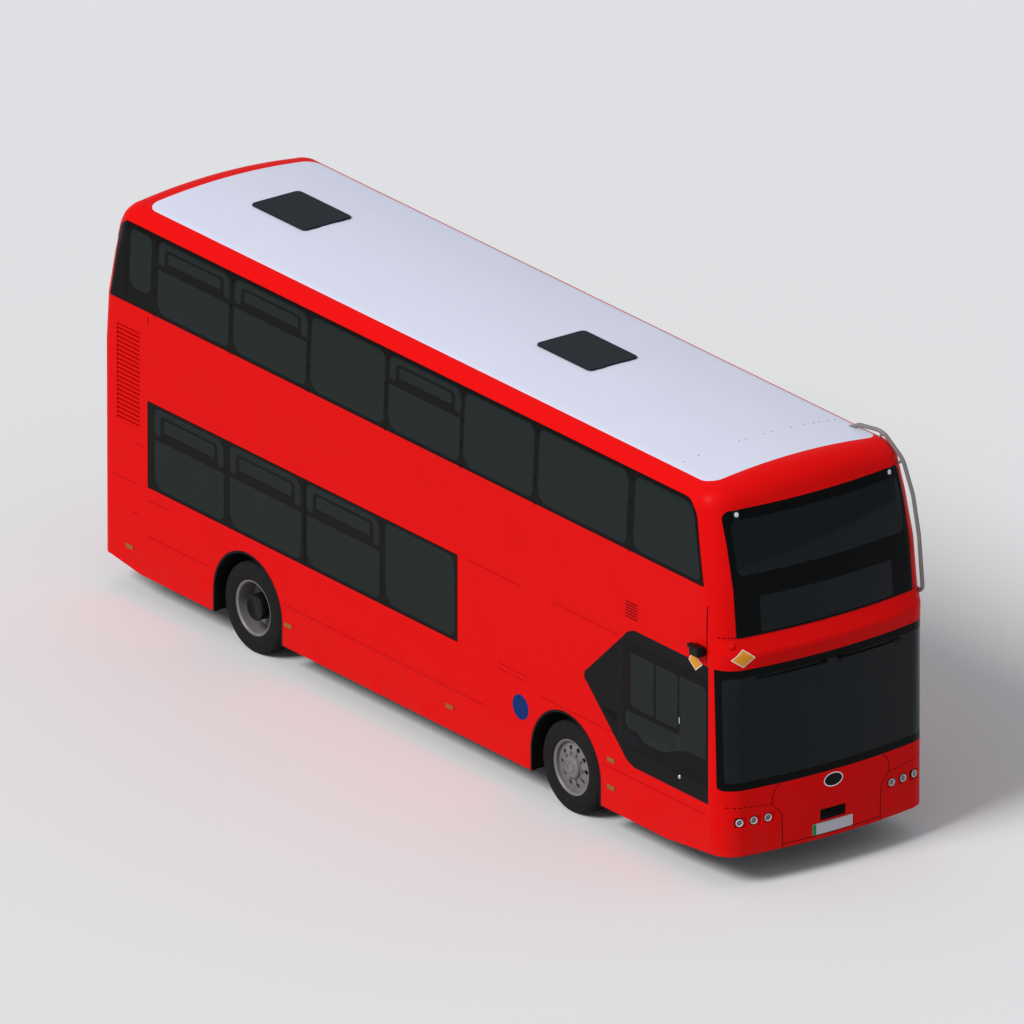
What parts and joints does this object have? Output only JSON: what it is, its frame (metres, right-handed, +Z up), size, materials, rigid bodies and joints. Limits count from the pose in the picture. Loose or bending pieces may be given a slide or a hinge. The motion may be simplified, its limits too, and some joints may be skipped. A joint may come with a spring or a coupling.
{
  "type": "double decker city bus",
  "caption": "Red double decker city bus with a white roof, dark glazing bands, twin leaf doors, steered front wheels and a staircase between its decks.",
  "frame": {"origin": "on the ground under the middle of the bus", "axes": "+X towards the front, +Y towards the door side, +Z up"},
  "size_m": [10.517, 2.8506, 4.2213],
  "materials": {
    "black_panel": "satin black",
    "body_red": "gloss red paint",
    "deck_floor": "flecked vinyl",
    "door_red": "gloss red paint, tinted pane",
    "frame_steel": "black coated steel",
    "guard_grey": "satin grey",
    "lamp_amber": "amber lens",
    "lamp_clear": "clear lens",
    "lamp_red": "ribbed red lens",
    "moulded_black": "fine grain",
    "pole_yellow": "powder coated",
    "roof_white": "satin white paint",
    "seat_cloth": "moquette",
    "tinted_glass": "dark tinted, bonded",
    "trim_grey": "grained",
    "tyre": "rubber",
    "wheel_silver": "silver paint"
  },
  "bodies": {
    "root": {"battery_pack": "frame_steel", "cab_partition": "trim_grey", "cab_side_panel": "black_panel", "camera_pods": "black_panel", "dashboard": "trim_grey", "driver_seat": "seat_cloth", "front_axle": "frame_steel", "front_grille": "black_panel", "front_lower": "body_red", "front_marker_lamps": "lamp_clear", "front_upper": "body_red", "glazing_lower": "tinted_glass", "glazing_upper": "tinted_glass", "grab_poles": "pole_yellow", "headlamps": "lamp_clear", "lower_floor": "deck_floor", "offside_louvres": "body_red", "rear_axle": "frame_steel", "rear_bulkhead": "trim_grey", "rear_lamps": "lamp_red", "rear_lower": "body_red", "rear_upper": "body_red", "roof_cove": "body_red", "roof_panel": "roof_white", "seats_lower": "seat_cloth", "seats_upper": "seat_cloth", "side_lower_nearside": "body_red", "side_lower_offside": "body_red", "side_markers": "lamp_amber", "side_upper_nearside": "body_red", "side_upper_offside": "body_red", "staircase": "deck_floor", "steering_wheel": "moulded_black", "tree_guard": "guard_grey", "underframe": "frame_steel", "upper_floor": "deck_floor", "wheel_boxes": "deck_floor", "windscreen_lower": "tinted_glass", "windscreen_upper": "tinted_glass", "wipers": "black_panel"},
    "leaf_centre_aft": {"door_centre_aft": "door_red"},
    "leaf_centre_fore": {"door_centre_fore": "door_red"},
    "leaf_front_aft": {"door_front_aft": "door_red"},
    "leaf_front_fore": {"door_front_fore": "door_red"},
    "knuckle_left": {"knuckle_left": "frame_steel"},
    "knuckle_right": {"knuckle_right": "frame_steel"},
    "tail_cover": {"rear_cover": "body_red"},
    "wheel_front_left": {"rim_front_left": "wheel_silver", "tyre_front_left": "tyre"},
    "wheel_front_right": {"rim_front_right": "wheel_silver", "tyre_front_right": "tyre"},
    "wheel_rear_left": {"rim_rear_left": "wheel_silver", "tyre_rear_left": "tyre"},
    "wheel_rear_right": {"rim_rear_right": "wheel_silver", "tyre_rear_right": "tyre"},
    "hatch_front": {"roof_hatch_front": "moulded_black"},
    "hatch_rear": {"roof_hatch_rear": "moulded_black"}
  },
  "joints": [
    {"name": "steer_left", "type": "hinge", "parent": "root", "child": "knuckle_left", "pos_m": [2.531, 0.9805, 0.478], "axis": [0, 0, 1], "range_deg": [-42, 42]},
    {"name": "spin_front_left", "type": "hinge", "parent": "knuckle_left", "child": "wheel_front_left", "pos_m": [2.531, 1.0925, 0.478], "axis": [0, 1, 0], "continuous": true},
    {"name": "spin_rear_left", "type": "hinge", "parent": "root", "child": "wheel_rear_left", "pos_m": [-2.76, 1.0925, 0.478], "axis": [0, 1, 0], "continuous": true},
    {"name": "steer_right", "type": "hinge", "parent": "root", "child": "knuckle_right", "pos_m": [2.531, -0.9805, 0.478], "axis": [0, 0, 1], "range_deg": [-42, 42]},
    {"name": "spin_front_right", "type": "hinge", "parent": "knuckle_right", "child": "wheel_front_right", "pos_m": [2.531, -1.0925, 0.478], "axis": [0, 1, 0], "continuous": true},
    {"name": "spin_rear_right", "type": "hinge", "parent": "root", "child": "wheel_rear_right", "pos_m": [-2.76, -1.0925, 0.478], "axis": [0, 1, 0], "continuous": true},
    {"name": "door_front_aft_swing", "type": "hinge", "parent": "root", "child": "leaf_front_aft", "pos_m": [3.363, 1.253, 1.27], "axis": [0, 0, 1], "range_deg": [-86, 0]},
    {"name": "door_front_fore_swing", "type": "hinge", "parent": "root", "child": "leaf_front_fore", "pos_m": [4.617, 1.253, 1.27], "axis": [0, 0, 1], "range_deg": [0, 86]},
    {"name": "door_centre_aft_swing", "type": "hinge", "parent": "root", "child": "leaf_centre_aft", "pos_m": [-0.827, 1.253, 1.27], "axis": [0, 0, 1], "range_deg": [-86, 0]},
    {"name": "door_centre_fore_swing", "type": "hinge", "parent": "root", "child": "leaf_centre_fore", "pos_m": [0.667, 1.253, 1.27], "axis": [0, 0, 1], "range_deg": [0, 86]},
    {"name": "hatch_rear_lift", "type": "hinge", "parent": "root", "child": "hatch_rear", "pos_m": [-3.103, 0, 4.2113], "axis": [0, 1, 0], "range_deg": [0, 65]},
    {"name": "hatch_front_lift", "type": "hinge", "parent": "root", "child": "hatch_front", "pos_m": [1.643, 0, 4.2113], "axis": [0, 1, 0], "range_deg": [0, 65]},
    {"name": "tail_cover_lift", "type": "hinge", "parent": "root", "child": "tail_cover", "pos_m": [-5.239, 0, 1.561], "axis": [0, 1, 0], "range_deg": [0, 80]}
  ],
  "couplings": [
    {"joint": "steer_right", "follows": "steer_left", "ratio": 1}
  ]
}
